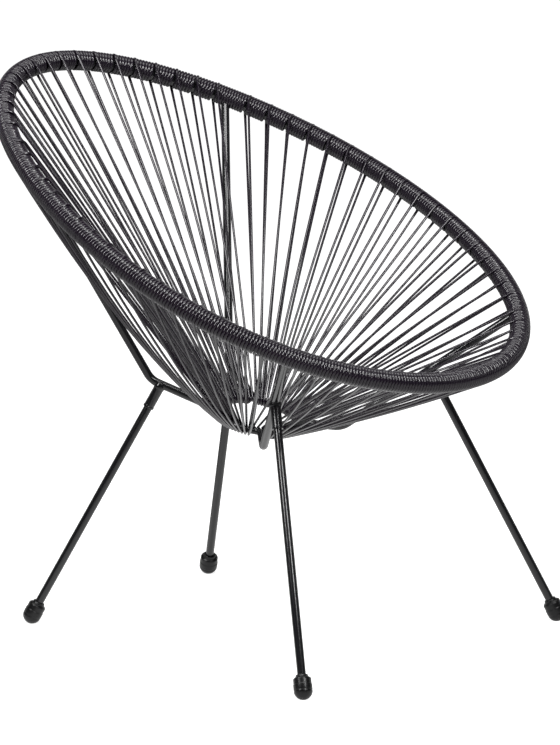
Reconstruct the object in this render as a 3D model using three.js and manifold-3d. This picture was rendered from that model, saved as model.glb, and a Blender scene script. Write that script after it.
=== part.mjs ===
// String lounge chair: an oval steel rim, tilted back, carries a bowl of plastic cord that is
// wound round the rim and strung down to a small lower ring and back. Four bent tubes join
// the rim to the lower ring, and four splayed legs screw into sockets under those tubes.
// Millimetres, +Z up. The sitter faces -Y. The origin is on the floor under the middle of the rim.
import * as THREE from 'three';
import { mergeVertices } from 'three/addons/utils/BufferGeometryUtils.js';
import Module from 'manifold-3d';

// Whole chair
const SEAT_WIDTH = 730; // over the wound rim, halfway back
const RIM_LENGTH = 930.6; // rim centreline, front to back along its slope
const RIM_HEIGHT = 640.3; // floor to the middle of the rim
const RIM_TILT = THREE.MathUtils.degToRad(25.2);
const RIM_FRONT_FULLNESS_SHARE = 0.105; // how much fuller than that the oval gets in front

// Clearances
const SEAT_GAP = 0.3; // between pieces that touch on the real chair
const CUT_OVERRUN = 5;
const WELD_TOLERANCE = 0.0004; // corners closer than this are one corner

// Rim tube and its winding
const RIM_TUBE_R = 12;
const RIM_TUBE_WALL = 1.5;
const RIM_SIDES = 8;
const CORD_D = 3.8;
const RIB_RISE = 0.5; // crests stand this far above the mean winding, valleys as far below
const RIBS_PER_BAY = 1;

// Bays of the winding on each side, from weld to weld, with one cord loop in each: front, left, back, right
const BAYS = [18, 18, 18, 17];
const END_SPACES = [0.5, 1, 0.5, 1]; // from a weld to the nearest loop, in spaces between loops
const SECTORS = [3, 4, 3, 4];
const SIDE_NAMES = ['front', 'left', 'back', 'right'];
const FRONT_LEFT_WELD = THREE.MathUtils.degToRad(41); // place of the weld round the rim, from the front
const FRONT_RIGHT_WELD = THREE.MathUtils.degToRad(46);
const BACK_WELD = THREE.MathUtils.degToRad(130);

// Lower ring
const LOWER_R = 65.5;
const LOWER_ROD_R = 5;
const LOWER_HEIGHT = 330.6;
const LOWER_SHIFT = -3; // towards the front
const LOWER_TILT = THREE.MathUtils.degToRad(15.5);
const LOWER_ROD_SIDES = 8;
const LOWER_STEPS = 40;
const LOWER_FRONT_JOIN = THREE.MathUtils.degToRad(43); // where the supports meet the lower ring
const LOWER_BACK_JOIN = THREE.MathUtils.degToRad(137);
const LOWER_BACK_PARTING = THREE.MathUtils.degToRad(139); // the loops part here for a back support

// Supports: each runs straight from the rim to a bend, then on to the lower ring
const SUPPORT_R = 6.5;
const SUPPORT_WALL = 1.2;
const SUPPORT_BEND_R = 30;
const SUPPORT_BEND_STEPS = 4;
const SUPPORT_SETBACK = 4; // the tube ends this far short of the lower ring's centreline
const FRONT_BEND = { side: 92.6, back: -94.1, up: 309 };
const BACK_BEND = { side: 91.7, back: 131.8, up: 384.2 };

// Legs, feet and the sockets that hold the legs
const LEG_R = 6.5;
const LEG_WALL = 1.2;
const FRONT_FOOT = { side: 304, back: -347 };
const BACK_FOOT = { side: 208.2, back: 281.6 };
const FRONT_SOCKET_SHARE = 0.502; // place on the straight part of a front support, from its bend
const BACK_SOCKET_RUN = 16.5; // distance from the back bend along the run to the lower ring
const SOCKET_R = 8;
const SOCKET_BORE_R = 5.6;
const SOCKET_REACH = 41.5; // from the support's centreline to the socket's mouth
const SOCKET_LIP = 3;
const SOCKET_LIP_RISE = 0.5;
const STUD_R = 4;
const STUD_LENGTH = 24;
const STUD_PLUG = 14;
const INSERT_LENGTH = 12;
const INSERT_DEPTH = 2;
const FOOT_R = 14.25;
const FOOT_HEIGHT = 34;
const FOOT_FLAT = 0.9; // the dome is cut flat by this much where it stands
const FOOT_CHAMFER = 2;
const FOOT_SOLE = 9; // rubber under the end of the leg
const TUBE_SIDES = 10;
const FOOT_SIDES = 14;
const FOOT_ARC_STEPS = 5;

// Cord loops
const LOOP_SIDES = 4;
const LOOP_STEPS = 4;
const LOOP_LIFT = THREE.MathUtils.degToRad(45); // how far round the rim a loop leaves, from its own direction
const LOOP_STAGGER_SHARE = 0.65; // of the cord's diameter, between a loop's ends and the middle of its bay
const GAP_PROBES = 12; // points per step when the gap between loops is measured
const LOOP_SPREAD = 0.45; // extra room between a loop and the support beside it
const FRONT_CROSSING = THREE.MathUtils.degToRad(58.5); // the front loops reach this far round the lower ring
const FRONT_CROWDING_SHARE = 0.13; // of their turn round its under side, in the middle of the front
const SLACK_SHARES = [0.012, 0, 0, 0.06]; // how far each side's outer strands sag, of their length
const SLACK_STEPS = 5;

const wasm = await Module();
wasm.setup();

// Turns a closed geometry into a solid for a cut or a join.
function toSolid(geometry) {
  const bare = geometry.clone();
  bare.deleteAttribute('normal');
  bare.deleteAttribute('uv');
  const merged = mergeVertices(bare, WELD_TOLERANCE);
  return new wasm.Manifold(new wasm.Mesh({
    numProp: 3,
    vertProperties: Float32Array.from(merged.attributes.position.array),
    triVerts: Uint32Array.from(merged.index.array),
  }));
}

function toGeometry(solid) {
  const mesh = solid.getMesh();
  const geometry = new THREE.BufferGeometry();
  geometry.setAttribute('position', new THREE.BufferAttribute(Float32Array.from(mesh.vertProperties), 3));
  geometry.setIndex(new THREE.BufferAttribute(Uint32Array.from(mesh.triVerts), 1));
  geometry.computeVertexNormals();
  return geometry;
}

const cut = (geometry, ...tools) =>
  toGeometry(tools.reduce((solid, tool) => solid.subtract(toSolid(tool)), toSolid(geometry)));

// Rim: an oval in a tilted plane. Angle 0 is the front, and a quarter turn is the sitter's left.
const RIM_WINDING_R = RIM_TUBE_R + SEAT_GAP + CORD_D;
const RIM_HALF_WIDTH = SEAT_WIDTH / 2 - RIM_WINDING_R;
const RIM_NORMAL = new THREE.Vector3(0, -Math.sin(RIM_TILT), Math.cos(RIM_TILT));

function rimPoint(angle) {
  const along = (-RIM_LENGTH / 2) * Math.cos(angle);
  const across = RIM_HALF_WIDTH * Math.sin(angle) * (1 + RIM_FRONT_FULLNESS_SHARE * Math.cos(angle));
  return new THREE.Vector3(across, along * Math.cos(RIM_TILT), RIM_HEIGHT + along * Math.sin(RIM_TILT));
}

const RIM_MEASURE_STEPS = 40;

// Angles at given shares of the rim's length between two angles.
function rimAnglesAt(from, to, shares) {
  const fine = shares.length * RIM_MEASURE_STEPS;
  const angles = Array.from({ length: fine + 1 }, (_, i) => from + ((to - from) * i) / fine);
  const lengths = [0];
  for (let i = 1; i <= fine; i += 1) {
    lengths.push(lengths[i - 1] + rimPoint(angles[i]).distanceTo(rimPoint(angles[i - 1])));
  }
  return shares.map((share) => {
    const target = lengths[fine] * share;
    const next = Math.max(1, lengths.findIndex((length) => length >= target));
    const part = (target - lengths[next - 1]) / (lengths[next] - lengths[next - 1]);
    return angles[next - 1] + part * (angles[next] - angles[next - 1]);
  });
}

// Where the bays of a side start. The loops stand evenly, and bays meet halfway between them.
function bayShares(bays, side) {
  const spaces = bays - 1 + 2 * END_SPACES[side];
  return Array.from({ length: bays }, (_, i) => (i === 0 ? 0 : (END_SPACES[side] + i - 0.5) / spaces));
}

// Place of a loop along its bay.
function loopShare(side, place) {
  const end = END_SPACES[side];
  if (place === 0) return end / (end + 0.5);
  return place === BAYS[side] - 1 ? 0.5 / (end + 0.5) : 0.5;
}

// Angles that part the four sides, from the two in front and one at the back.
const aroundSides = (frontLeft, frontRight, back) =>
  [-frontRight, frontLeft, back, 2 * Math.PI - back, 2 * Math.PI - frontRight];

const RIM_JOINT_BAY = BAYS[0] + BAYS[1] + BAYS[2] / 2; // the tube's butt joint is at the back
const WELDS = aroundSides(FRONT_LEFT_WELD, FRONT_RIGHT_WELD, BACK_WELD);
const STATIONS = BAYS.flatMap((bays, side) => rimAnglesAt(WELDS[side], WELDS[side + 1], bayShares(bays, side)))
  .map(rimPoint);
const BAY_COUNT = STATIONS.length;
const station = (i) => STATIONS[((i % BAY_COUNT) + BAY_COUNT) % BAY_COUNT];
const bayDirection = (i) => station(i + 1).clone().sub(station(i)).normalize();

// Centre, direction and outward side of the rim's section, part of the way along a bay.
function rimSection(bay, part, shift = 0) {
  const direction = bayDirection(bay);
  if (part === 0) direction.add(bayDirection(bay - 1)).normalize();
  if (part === 1) direction.add(bayDirection(bay + 1)).normalize();
  const centre = station(bay).clone().lerp(station(bay + 1), part).addScaledVector(direction, shift);
  const outward = new THREE.Vector3().crossVectors(direction, RIM_NORMAL).normalize();
  return { centre, direction, outward };
}

function sectionRing({ centre, outward }, radius) {
  return Array.from({ length: RIM_SIDES }, (_, i) => {
    const turn = (2 * Math.PI * i) / RIM_SIDES;
    return centre.clone()
      .addScaledVector(outward, radius * Math.cos(turn))
      .addScaledVector(RIM_NORMAL, -radius * Math.sin(turn));
  });
}

// Closed body from rings of points that follow each other: an outer skin, and a bore if given.
function bodyFromRings(outer, bore = null) {
  const points = [];
  const faces = [];
  const add = (rings) => rings.map((ring) => ring.map((point) => points.push(point) - 1));
  const strip = (rings, inward) => {
    for (let r = 0; r < rings.length - 1; r += 1) {
      for (let i = 0; i < RIM_SIDES; i += 1) {
        const j = (i + 1) % RIM_SIDES;
        const quad = [rings[r][i], rings[r][j], rings[r + 1][j], rings[r + 1][i]];
        if (inward) quad.reverse();
        faces.push([quad[0], quad[1], quad[2]], [quad[0], quad[2], quad[3]]);
      }
    }
  };
  const skin = add(outer);
  strip(skin, false);
  const ends = [skin[0], skin[skin.length - 1]];
  if (bore) {
    const wall = add(bore);
    strip(wall, true);
    const wallEnds = [wall[0], wall[wall.length - 1]];
    strip([wallEnds[0], ends[0]], false);
    strip([ends[1], wallEnds[1]], false);
  } else {
    for (let i = 1; i < RIM_SIDES - 1; i += 1) {
      faces.push([ends[0][0], ends[0][i + 1], ends[0][i]]);
      faces.push([ends[1][0], ends[1][i], ends[1][i + 1]]);
    }
  }
  const geometry = new THREE.BufferGeometry().setFromPoints(points);
  geometry.setIndex(faces.flat());
  geometry.computeVertexNormals();
  return geometry;
}

// A length of the rim with a plain skin, from one bay over a number of bays.
function rimLength(first, bays, radius, boreRadius, endGap) {
  const sections = Array.from({ length: bays + 1 }, (_, i) => {
    if (i === 0) return rimSection(first, 0, endGap / 2);
    if (i === bays) return rimSection(first + bays - 1, 1, -endGap / 2);
    return rimSection(first + i, 0);
  });
  return bodyFromRings(
    sections.map((section) => sectionRing(section, radius)),
    boreRadius ? sections.map((section) => sectionRing(section, boreRadius)) : null,
  );
}

// The winding over some bays: ribs stand for its turns, and the bore clears the rim tube.
const WINDING_CREST_R = RIM_WINDING_R + RIB_RISE;
const WINDING_VALLEY_R = RIM_WINDING_R - RIB_RISE;
const WINDING_BORE_R = (RIM_TUBE_R + SEAT_GAP) / Math.cos(Math.PI / RIM_SIDES);

function windingOver(first, bays) {
  const rings = [];
  const bore = [];
  for (let bay = first; bay < first + bays; bay += 1) {
    for (let half = 0; half < 2 * RIBS_PER_BAY; half += 1) {
      const section = rimSection(bay, half / (2 * RIBS_PER_BAY), bay === first && half === 0 ? SEAT_GAP / 2 : 0);
      rings.push(sectionRing(section, half % 2 === 0 ? WINDING_CREST_R : WINDING_VALLEY_R));
      if (half === 0) bore.push(sectionRing(section, WINDING_BORE_R));
    }
  }
  const last = rimSection(first + bays - 1, 1, -SEAT_GAP / 2);
  rings.push(sectionRing(last, WINDING_CREST_R));
  bore.push(sectionRing(last, WINDING_BORE_R));
  return bodyFromRings(rings, bore);
}

// A tube through given points, with a step at each point.
class Route extends THREE.Curve {
  constructor(points) {
    super();
    this.points = points;
  }

  getPoint(t) {
    const place = t * (this.points.length - 1);
    const before = Math.min(Math.floor(place), this.points.length - 2);
    return this.points[before].clone().lerp(this.points[before + 1], place - before);
  }

  getPointAt(t) {
    return this.getPoint(t);
  }

  getTangentAt(t) {
    const place = Math.round(t * (this.points.length - 1));
    const step = (i) => this.points[i + 1].clone().sub(this.points[i]).normalize();
    if (place === 0) return step(0);
    if (place === this.points.length - 1) return step(place - 1);
    return step(place - 1).add(step(place)).normalize();
  }
}

function roundSection(radius, sides, boreRadius = 0) {
  const corner = (i, r) => {
    const turn = (2 * Math.PI * i) / sides;
    return new THREE.Vector2(r * Math.cos(turn), r * Math.sin(turn));
  };
  const shape = new THREE.Shape(Array.from({ length: sides }, (_, i) => corner(i, radius)));
  if (boreRadius) shape.holes.push(new THREE.Path(Array.from({ length: sides }, (_, i) => corner(-i, boreRadius))));
  return shape;
}

function tubeAlong(points, section) {
  return new THREE.ExtrudeGeometry(section, {
    extrudePath: new Route(points), steps: points.length - 1, curveSegments: 1, bevelEnabled: false,
  });
}

// Lower ring, in its own tilted plane. Angles run as on the rim.
const LOWER_CENTRE = new THREE.Vector3(0, LOWER_SHIFT, LOWER_HEIGHT);
const LOWER_FRONT = new THREE.Vector3(0, -Math.cos(LOWER_TILT), -Math.sin(LOWER_TILT));
const SIDEWAYS = new THREE.Vector3(1, 0, 0);

function lowerPoint(angle) {
  return LOWER_CENTRE.clone()
    .addScaledVector(SIDEWAYS, LOWER_R * Math.sin(angle))
    .addScaledVector(LOWER_FRONT, LOWER_R * Math.cos(angle));
}

function lowerDirection(angle) {
  return SIDEWAYS.clone().multiplyScalar(Math.cos(angle)).addScaledVector(LOWER_FRONT, -Math.sin(angle));
}

function lowerRing(rodRadius) {
  const geometry = new THREE.TorusGeometry(LOWER_R, rodRadius, LOWER_ROD_SIDES, LOWER_STEPS);
  geometry.rotateX(LOWER_TILT);
  geometry.translate(LOWER_CENTRE.x, LOWER_CENTRE.y, LOWER_CENTRE.z);
  return geometry;
}

// Points from one end round a bend to the other end.
function bentRoute(from, corner, to) {
  const inbound = corner.clone().sub(from).normalize();
  const outbound = to.clone().sub(corner).normalize();
  const turn = inbound.angleTo(outbound);
  const axis = new THREE.Vector3().crossVectors(inbound, outbound).normalize();
  const start = corner.clone().addScaledVector(inbound, -SUPPORT_BEND_R * Math.tan(turn / 2));
  const spoke = new THREE.Vector3().crossVectors(inbound, axis).multiplyScalar(SUPPORT_BEND_R);
  const centre = start.clone().sub(spoke);
  const arc = Array.from({ length: SUPPORT_BEND_STEPS + 1 }, (_, i) =>
    spoke.clone().applyAxisAngle(axis, (turn * i) / SUPPORT_BEND_STEPS).add(centre));
  return [from, ...arc, to];
}

// Each corner of the chair has a support, a socket, a leg with its stud, and a foot.
const CORNERS = [
  { name: 'front_left', sign: 1, bend: FRONT_BEND, foot: FRONT_FOOT, weldBay: BAYS[0], join: LOWER_FRONT_JOIN },
  { name: 'back_left', sign: 1, bend: BACK_BEND, foot: BACK_FOOT, weldBay: BAYS[0] + BAYS[1], join: LOWER_BACK_JOIN },
  {
    name: 'back_right', sign: -1, bend: BACK_BEND, foot: BACK_FOOT,
    weldBay: BAYS[0] + BAYS[1] + BAYS[2], join: 2 * Math.PI - LOWER_BACK_JOIN,
  },
  { name: 'front_right', sign: -1, bend: FRONT_BEND, foot: FRONT_FOOT, weldBay: 0, join: -LOWER_FRONT_JOIN },
];

function layOutCorner(corner) {
  const bend = new THREE.Vector3(corner.sign * corner.bend.side, corner.bend.back, corner.bend.up);
  const weld = station(corner.weldBay).clone();
  const join = lowerPoint(corner.join);
  const run = join.clone().sub(bend).normalize();
  const end = join.clone().addScaledVector(run, -SUPPORT_SETBACK);
  const isFront = corner.bend === FRONT_BEND;
  const seat = isFront
    ? bend.clone().lerp(weld, FRONT_SOCKET_SHARE)
    : bend.clone().addScaledVector(run, BACK_SOCKET_RUN);
  const foot = new THREE.Vector3(corner.sign * corner.foot.side, corner.foot.back, FOOT_R - FOOT_FLAT);
  const axis = seat.clone().sub(foot).normalize();
  return { ...corner, weld, seat, foot, axis, route: bentRoute(weld, bend, end), span: seat.distanceTo(foot) };
}

const corners = CORNERS.map(layOutCorner);

// Turns a shape made along +Y so that it stands on a point and runs along an axis.
function stand(geometry, point, axis) {
  const turn = new THREE.Quaternion().setFromUnitVectors(new THREE.Vector3(0, 1, 0), axis);
  return geometry.applyQuaternion(turn).translate(point.x, point.y, point.z);
}

const lathe = (profile, sides) =>
  new THREE.LatheGeometry(profile.map(([radius, height]) => new THREE.Vector2(radius, height)), sides);

const sleeve = (outer, bore, from, to, sides) =>
  lathe([[bore, from], [outer, from], [outer, to], [bore, to], [bore, from]], sides);

function supportTube({ route, weldBay }) {
  const body = tubeAlong(route, roundSection(SUPPORT_R, TUBE_SIDES, SUPPORT_R - SUPPORT_WALL));
  const rimTool = rimLength(weldBay - 1, 2, RIM_TUBE_R + SEAT_GAP, 0, 0);
  return cut(body, rimTool, lowerRing(LOWER_ROD_R + SEAT_GAP));
}

// The support with room round it, for what has to stop short of it.
function supportRoom({ route }, room) {
  return tubeAlong(route, roundSection((SUPPORT_R + room) / Math.cos(Math.PI / TUBE_SIDES), TUBE_SIDES));
}

function socket(corner) {
  const mouth = corner.span - SOCKET_REACH;
  const profile = [
    [SOCKET_BORE_R, mouth], [SOCKET_R + SOCKET_LIP_RISE, mouth], [SOCKET_R + SOCKET_LIP_RISE, mouth + SOCKET_LIP],
    [SOCKET_R, mouth + SOCKET_LIP + SOCKET_LIP_RISE], [SOCKET_R, corner.span], [SOCKET_BORE_R, corner.span],
    [SOCKET_BORE_R, mouth],
  ];
  const body = stand(lathe(profile, TUBE_SIDES), corner.foot, corner.axis);
  return cut(body, supportRoom(corner, SEAT_GAP));
}

function socketInsert(corner) {
  const from = corner.span - SOCKET_REACH + INSERT_DEPTH;
  const body = sleeve(SOCKET_BORE_R - SEAT_GAP, STUD_R + SEAT_GAP, from, from + INSERT_LENGTH, TUBE_SIDES);
  return stand(body, corner.foot, corner.axis);
}

const POCKET_FLOOR = FOOT_SOLE - FOOT_R;
const legTop = (corner) => corner.span - SOCKET_REACH - SEAT_GAP;

function legTube(corner) {
  const body = sleeve(LEG_R, LEG_R - LEG_WALL, POCKET_FLOOR + SEAT_GAP, legTop(corner), TUBE_SIDES);
  return stand(body, corner.foot, corner.axis);
}

function legStud(corner) {
  const plugR = LEG_R - LEG_WALL - SEAT_GAP;
  const top = legTop(corner);
  const profile = [
    [0, top - STUD_PLUG], [plugR, top - STUD_PLUG], [plugR, top], [STUD_R, top],
    [STUD_R, top + STUD_LENGTH], [0, top + STUD_LENGTH],
  ];
  return stand(lathe(profile, TUBE_SIDES), corner.foot, corner.axis);
}

// A rubber cap: a dome below, a straight side with a chamfer above, and a pocket for the leg.
function footCap(corner) {
  const top = FOOT_HEIGHT - FOOT_R;
  const pocketR = LEG_R + SEAT_GAP;
  const dome = Array.from({ length: FOOT_ARC_STEPS + 1 }, (_, i) => {
    const turn = ((i / FOOT_ARC_STEPS - 1) * Math.PI) / 2;
    return [i === 0 ? 0 : FOOT_R * Math.cos(turn), FOOT_R * Math.sin(turn)];
  });
  const profile = [
    ...dome, [FOOT_R, top - FOOT_CHAMFER], [FOOT_R - FOOT_CHAMFER, top],
    [pocketR, top], [pocketR, POCKET_FLOOR], [0, POCKET_FLOOR],
  ];
  const body = stand(lathe(profile, FOOT_SIDES), corner.foot, corner.axis);
  const floor = new THREE.BoxGeometry(FOOT_HEIGHT, FOOT_HEIGHT, CUT_OVERRUN);
  floor.translate(corner.foot.x, corner.foot.y, -CUT_OVERRUN / 2);
  return cut(body, floor);
}

// Where each loop hangs on the lower ring. On the ring's upper side the front loops cross over the front
// supports, and on its under side the loops part to let each support through.
const CROSSINGS = aroundSides(FRONT_CROSSING, FRONT_CROSSING, LOWER_BACK_JOIN);
const JOIN_MARGIN = Math.asin((SUPPORT_R + CORD_D / 2 + LOOP_SPREAD) / LOWER_R);
const UNDER_FRONT = LOWER_FRONT_JOIN - JOIN_MARGIN;
const UNDER_BACK = LOWER_BACK_PARTING + JOIN_MARGIN;
const UNDER_SIDE = LOWER_BACK_PARTING - JOIN_MARGIN;
const UNDER_SPANS = [
  [-UNDER_FRONT, UNDER_FRONT], [FRONT_CROSSING, UNDER_SIDE],
  [UNDER_BACK, 2 * Math.PI - UNDER_BACK], [2 * Math.PI - UNDER_SIDE, 2 * Math.PI - FRONT_CROSSING],
];

function loopAngles(side, place) {
  const inner = THREE.MathUtils.mapLinear(place, -0.5, BAYS[side] - 0.5, CROSSINGS[side], CROSSINGS[side + 1]);
  const outer = THREE.MathUtils.mapLinear(place, 0, BAYS[side] - 1, ...UNDER_SPANS[side]);
  const crowding = side === 0 ? FRONT_CROWDING_SHARE * (1 - (outer / UNDER_FRONT) ** 2) : 0;
  return { inner, outer: outer * (1 - crowding) };
}

// One loop of cord: off the top of the rim, down, round the lower ring, and back up under the rim.
const CORD_SEAT_R = RIM_TUBE_R + SEAT_GAP + CORD_D / 2;
const LOOP_R = (LOWER_ROD_R + SEAT_GAP + CORD_D / 2) / Math.cos(Math.PI / LOOP_STEPS / 2);

function loopRoute(side, place, bay) {
  const { inner, outer } = loopAngles(side, place);
  const { centre, direction } = rimSection(bay, loopShare(side, place));
  const rimEnd = (angle, over) => {
    const down = lowerPoint(angle).sub(centre).projectOnPlane(direction).normalize();
    const upper = new THREE.Vector3().crossVectors(direction, down).normalize();
    return centre.clone()
      .addScaledVector(down, CORD_SEAT_R * Math.cos(LOOP_LIFT))
      .addScaledVector(upper, over * CORD_SEAT_R * Math.sin(LOOP_LIFT))
      .addScaledVector(direction, -over * CORD_D * LOOP_STAGGER_SHARE);
  };
  const points = [rimEnd(inner, 1)];
  for (let step = 0; step <= LOOP_STEPS; step += 1) {
    const part = step / LOOP_STEPS;
    const angle = inner + (outer - inner) * part;
    const onRing = lowerPoint(angle);
    const along = lowerDirection(angle);
    const down = onRing.clone().sub(centre).projectOnPlane(along).normalize();
    const upper = new THREE.Vector3().crossVectors(along, down).normalize();
    points.push(onRing.clone()
      .addScaledVector(upper, LOOP_R * Math.cos(Math.PI * part))
      .addScaledVector(down, LOOP_R * Math.sin(Math.PI * part)));
  }
  const foot = points[points.length - 1];
  const head = rimEnd(outer, -1);
  const steps = SLACK_SHARES[side] > 0 ? SLACK_STEPS : 1;
  for (let step = 1; step < steps; step += 1) {
    const part = step / steps;
    const sag = 4 * part * (1 - part) * SLACK_SHARES[side] * foot.distanceTo(head);
    const point = foot.clone().lerp(head, part);
    points.push(point.setZ(point.z - sag));
  }
  points.push(head);
  return points;
}

const LOOPS = BAYS.flatMap((bays, side) => Array.from({ length: bays }, (_, place) => {
  const bay = BAYS.slice(0, side).reduce((sum, n) => sum + n, 0) + place;
  return loopRoute(side, place, bay);
}));

// Least gap between neighbouring loops, measured on points along both.
function leastLoopGap() {
  const fine = LOOPS.map((points) => new Route(points).getPoints((points.length - 1) * GAP_PROBES));
  let least = Infinity;
  fine.forEach((points, i) => {
    const next = fine[(i + 1) % fine.length];
    points.forEach((a) => next.forEach((b) => { least = Math.min(least, a.distanceTo(b)); }));
  });
  return least - CORD_D;
}

// One stretch of the seat: the winding over its bays, and the loops that hang from it.
function seatStretch(first, bays) {
  const rooms = corners
    .filter(({ weldBay }) => weldBay === first || weldBay === (first + bays) % BAY_COUNT)
    .map((corner) => supportRoom(corner, SEAT_GAP));
  let solid = toSolid(rooms.length ? cut(windingOver(first, bays), ...rooms) : windingOver(first, bays));
  for (let bay = first; bay < first + bays; bay += 1) {
    solid = solid.add(toSolid(tubeAlong(LOOPS[bay], roundSection(CORD_D / 2, LOOP_SIDES))));
  }
  return toGeometry(solid);
}

const paint = (color, roughness, metalness) => new THREE.MeshStandardMaterial({ color, roughness, metalness });
const chair = new THREE.Group();

function addPiece(name, geometry, material) {
  const mesh = new THREE.Mesh(geometry, material);
  mesh.name = name;
  chair.add(mesh);
}

addPiece('rim_tube', rimLength(RIM_JOINT_BAY, BAY_COUNT, RIM_TUBE_R, RIM_TUBE_R - RIM_TUBE_WALL, SEAT_GAP),
  paint(0x1d1d1f, 0.45, 0.5));
addPiece('lower_ring', lowerRing(LOWER_ROD_R), paint(0x1d1d1f, 0.45, 0.5));
for (const corner of corners) {
  addPiece(`support_${corner.name}`, supportTube(corner), paint(0x232326, 0.42, 0.5));
  addPiece(`leg_socket_${corner.name}`, socket(corner), paint(0x232326, 0.42, 0.5));
  addPiece(`socket_insert_${corner.name}`, socketInsert(corner), paint(0x9a9a98, 0.4, 0.9));
  addPiece(`leg_${corner.name}`, legTube(corner), paint(0x232326, 0.42, 0.5));
  addPiece(`leg_stud_${corner.name}`, legStud(corner), paint(0xa0a09e, 0.35, 0.9));
  addPiece(`foot_cap_${corner.name}`, footCap(corner), paint(0x17171a, 0.7, 0));
}

let firstBay = 0;
BAYS.forEach((bays, side) => {
  const sectorStart = (sector) => Math.round((bays * sector) / SECTORS[side]);
  for (let sector = 0; sector < SECTORS[side]; sector += 1) {
    const count = sectorStart(sector + 1) - sectorStart(sector);
    addPiece(`seat_cord_${SIDE_NAMES[side]}_${sector + 1}`, seatStretch(firstBay, count), paint(0x26262a, 0.5, 0));
    firstBay += count;
  }
});

console.log(`least gap between cord loops ${leastLoopGap().toFixed(2)} mm`);

export default chair;
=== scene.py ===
"""Acapulco chair: an oval rim wound with cord, a strung seat, bent supports and screw-in legs.

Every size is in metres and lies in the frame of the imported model.
"""
import bisect
import math

import bmesh
import bpy
from bpy.props import FloatProperty, FloatVectorProperty, IntProperty, PointerProperty
from mathutils import Matrix, Vector


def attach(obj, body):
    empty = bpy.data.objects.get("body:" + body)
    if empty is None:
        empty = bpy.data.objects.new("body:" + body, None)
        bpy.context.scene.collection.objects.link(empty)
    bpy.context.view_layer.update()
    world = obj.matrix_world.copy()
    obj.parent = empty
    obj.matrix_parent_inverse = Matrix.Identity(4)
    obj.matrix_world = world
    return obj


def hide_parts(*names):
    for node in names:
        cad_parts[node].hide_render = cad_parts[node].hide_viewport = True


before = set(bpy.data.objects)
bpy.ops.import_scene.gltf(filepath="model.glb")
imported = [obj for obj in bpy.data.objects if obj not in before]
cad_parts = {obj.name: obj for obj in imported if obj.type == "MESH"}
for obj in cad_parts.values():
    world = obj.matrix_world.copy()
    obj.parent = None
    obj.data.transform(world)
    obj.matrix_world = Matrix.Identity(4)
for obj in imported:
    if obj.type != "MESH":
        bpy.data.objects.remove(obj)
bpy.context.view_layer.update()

bl_info = {
    "name": "Acapulco chair",
    "version": (1, 0, 0),
    "blender": (4, 5, 0),
    "location": "View3D > Sidebar > Chair",
    "description": "Models a string lounge chair and its studio",
    "category": "Object",
}

BODY = "root"
SIDE_NAMES = ("front", "left", "back", "right")
SIDE_LOOPS = (18, 18, 18, 17)  # cord loops on each side, from weld to weld
END_SPACES = (0.5, 1, 0.5, 1)  # from a weld to the nearest loop, in spaces between loops
SIDE_STRETCHES = (3, 4, 3, 4)  # pieces that the cord of a side is made in
SIDE_STARTS = tuple(sum(SIDE_LOOPS[:side]) for side in range(4))
LOOP_COUNT = sum(SIDE_LOOPS)
CORNERS = {  # sign of x, the front or back sizes it takes, and the side of the seat that its weld starts
    "front_left": (1, "front", 1),
    "back_left": (1, "back", 2),
    "back_right": (-1, "back", 3),
    "front_right": (-1, "front", 0),
}
LOOP_SPACE = 0.25  # turns of the winding from a loop's place on the rim to the winding's end beside it
LIFT_TURNS = 0.22  # part of a turn in which the cord comes up from the winding into a loop
FLAT_REACH = 1.25  # cord diameters off the winding at which the cord is fully round again
CORNER_ROUND = 0.003  # from a rounded corner of the cord to where its rounding starts
ANGLE_STEP = 0.001  # either way, for the rim's direction
SHARP_ANGLE = math.radians(38)
WELD_DISTANCE = 1e-6
NOISE_RANGE = (0.3, 0.7)  # most of a noise texture's values


def linear(hex_colour):
    """Linear colour from an sRGB hex value."""
    parts = [int(hex_colour[i:i + 2], 16) / 255 for i in (1, 3, 5)]
    return tuple(p / 12.92 if p <= 0.04045 else ((p + 0.055) / 1.055) ** 2.4 for p in parts)


def length(name, description, default):
    """A length in metres."""
    return FloatProperty(name=name, description=description, default=default, unit="LENGTH", precision=4)


def fraction(name, description, default):
    """A share of something else."""
    return FloatProperty(name=name, description=description, default=default, subtype="FACTOR")


def whole(name, description, default, least):
    """A whole number."""
    return IntProperty(name=name, description=description, default=default, min=least)


def position(name, description, default):
    """A point in metres."""
    return FloatVectorProperty(name=name, description=description, default=default,
                               unit="LENGTH", subtype="TRANSLATION", precision=4)


def turn(name, description, degrees):
    """An angle, given in degrees."""
    return FloatProperty(name=name, description=description, default=math.radians(degrees), subtype="ANGLE")


def colour(name, description, hex_colour):
    """A colour, given as an sRGB hex value."""
    return FloatVectorProperty(name=name, description=description, default=linear(hex_colour),
                               subtype="COLOR", min=0, max=1)


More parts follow.
